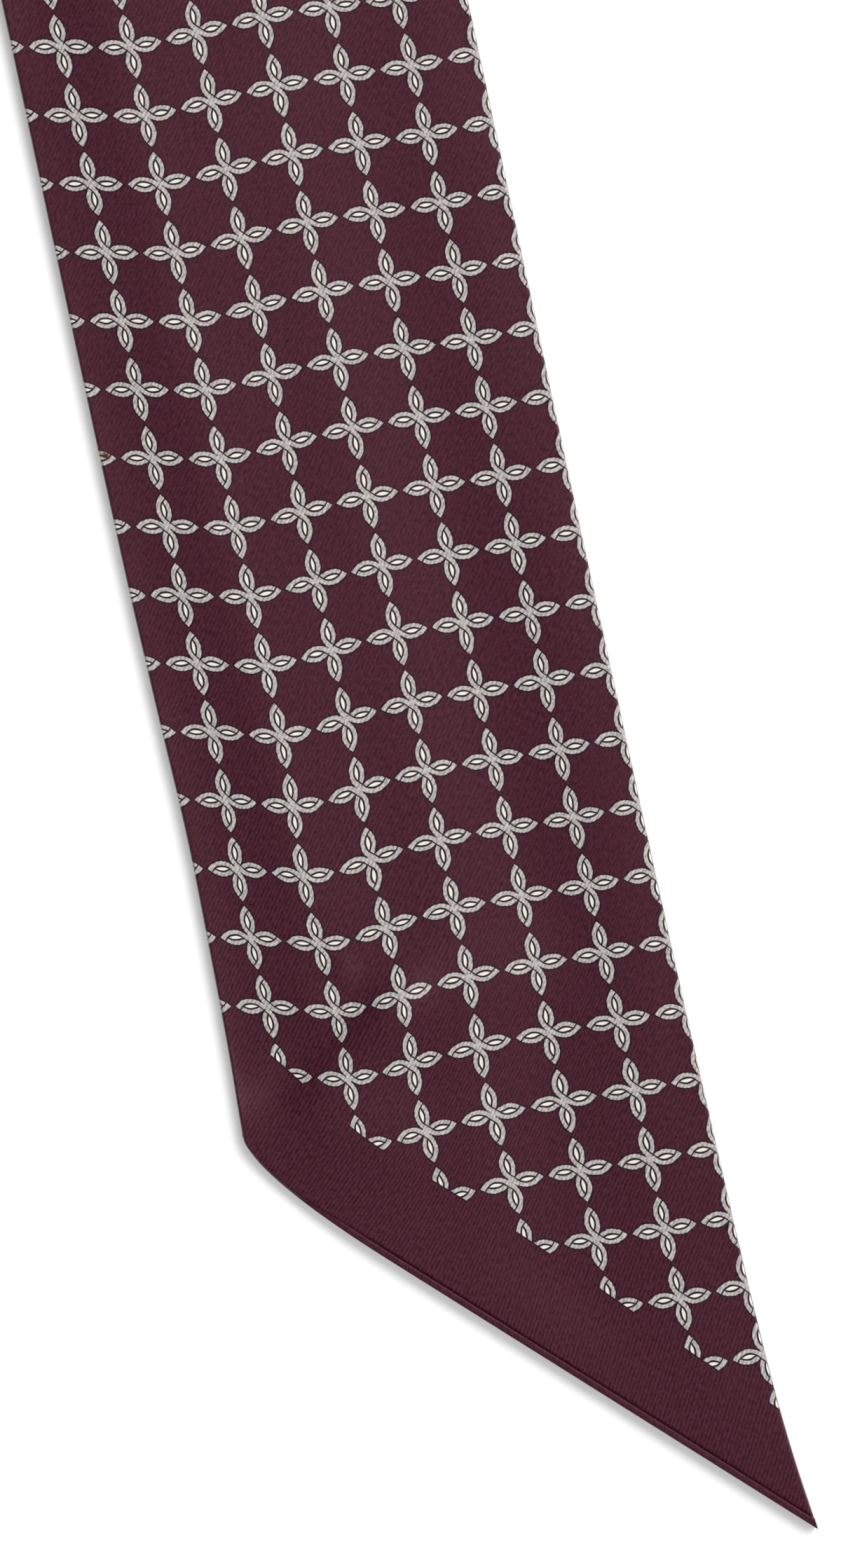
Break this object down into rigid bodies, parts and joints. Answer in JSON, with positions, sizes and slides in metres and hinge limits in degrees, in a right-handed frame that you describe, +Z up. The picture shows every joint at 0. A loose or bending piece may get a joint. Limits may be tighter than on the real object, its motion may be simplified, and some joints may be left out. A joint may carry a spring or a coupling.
{
  "type": "neck scarf",
  "caption": "Narrow silk neck scarf, folded lengthwise into a flat band and laid out, with slanting rolled ends and an all-over trellis print.",
  "frame": {"origin": "centre of the flat underside, on the surface that the scarf lies on", "axes": "+Y along the scarf, with the shown end at -Y; +X to the side of that end's sharp point; +Z up through the printed face"},
  "size_m": [0.0646, 0.9, 0.0039],
  "materials": {
    "printed_silk": "satin silk twill, dyed maroon and printed with a trellis of four-petal motifs",
    "rolled_silk": "satin silk twill, plain maroon, rolled and sewn"
  },
  "bodies": {
    "root": {"front_layer": "printed_silk", "back_layer": "printed_silk", "end_roll_near": "rolled_silk", "end_roll_far": "rolled_silk"}
  },
  "joints": []
}
